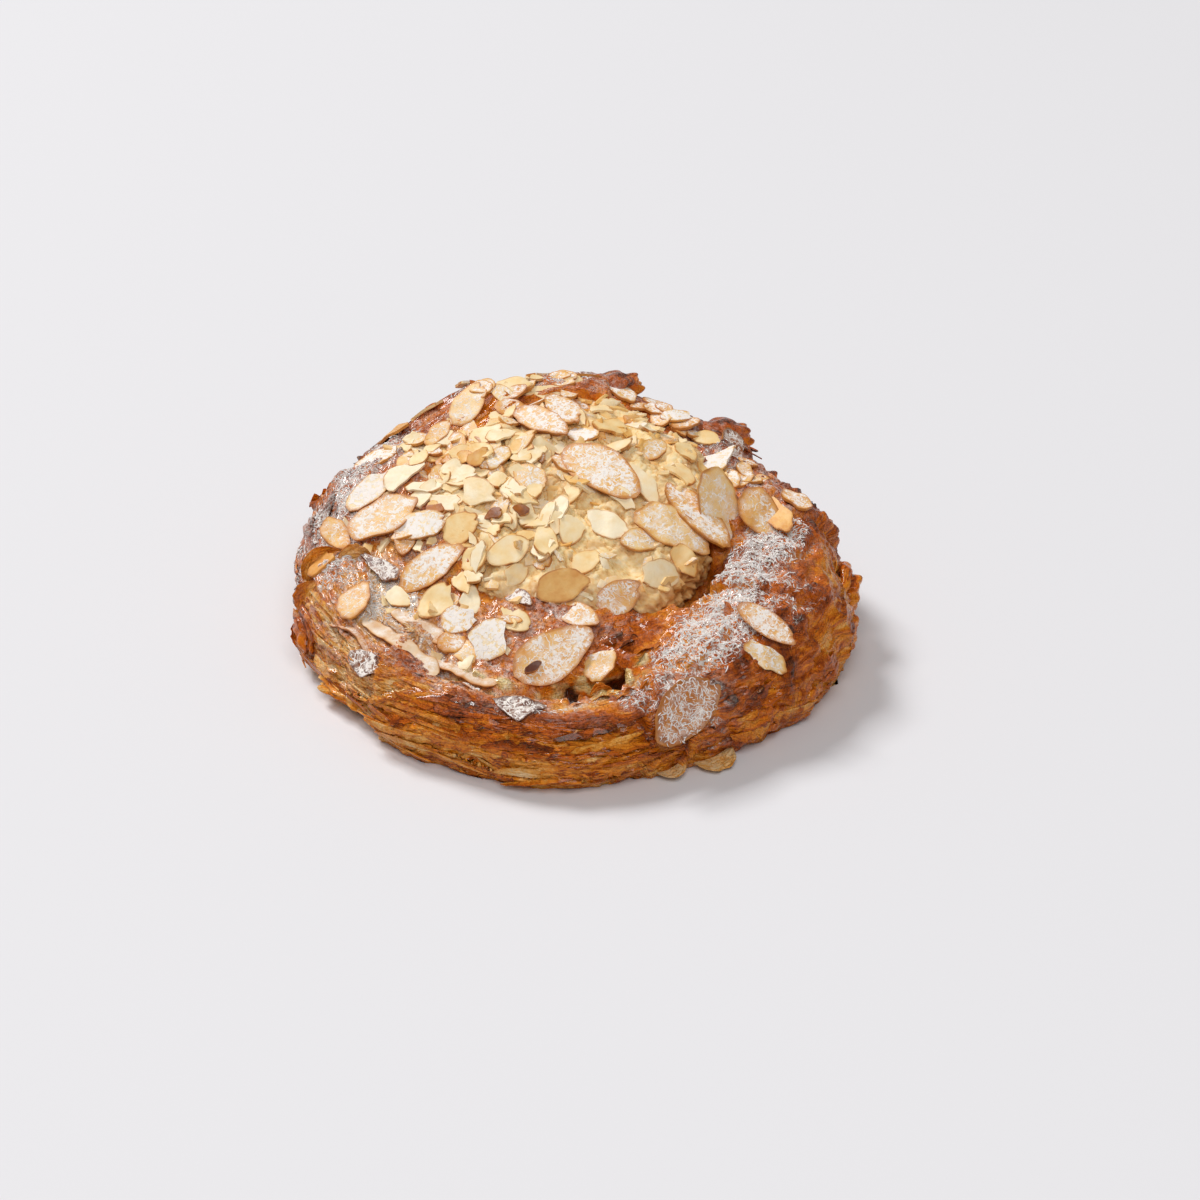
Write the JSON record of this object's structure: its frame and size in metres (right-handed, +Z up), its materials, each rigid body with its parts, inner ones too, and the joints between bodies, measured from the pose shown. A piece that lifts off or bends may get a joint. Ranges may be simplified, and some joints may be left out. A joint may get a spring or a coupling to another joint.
{
  "type": "almond croissant",
  "caption": "Baked almond croissant curled into a closed crescent, topped with almond cream, flaked almonds and sugar; rests on its flat underside.",
  "frame": {"origin": "centre of the curl, on the flat underside that the croissant rests on", "axes": "+Z up, -Y towards the thin side where the two horns meet, +X to the right seen from there"},
  "size_m": [0.1444, 0.1411, 0.0484],
  "materials": {
    "crust": "baked laminated dough, egg-washed, golden brown",
    "almond_cream": "baked crumbly almond cream, matt",
    "flaked_almonds": "toasted almond slices with tan rims",
    "icing_sugar": "loose white icing sugar"
  },
  "bodies": {
    "root": {"pastry": "crust", "almond_cream": "almond_cream"}
  },
  "joints": []
}
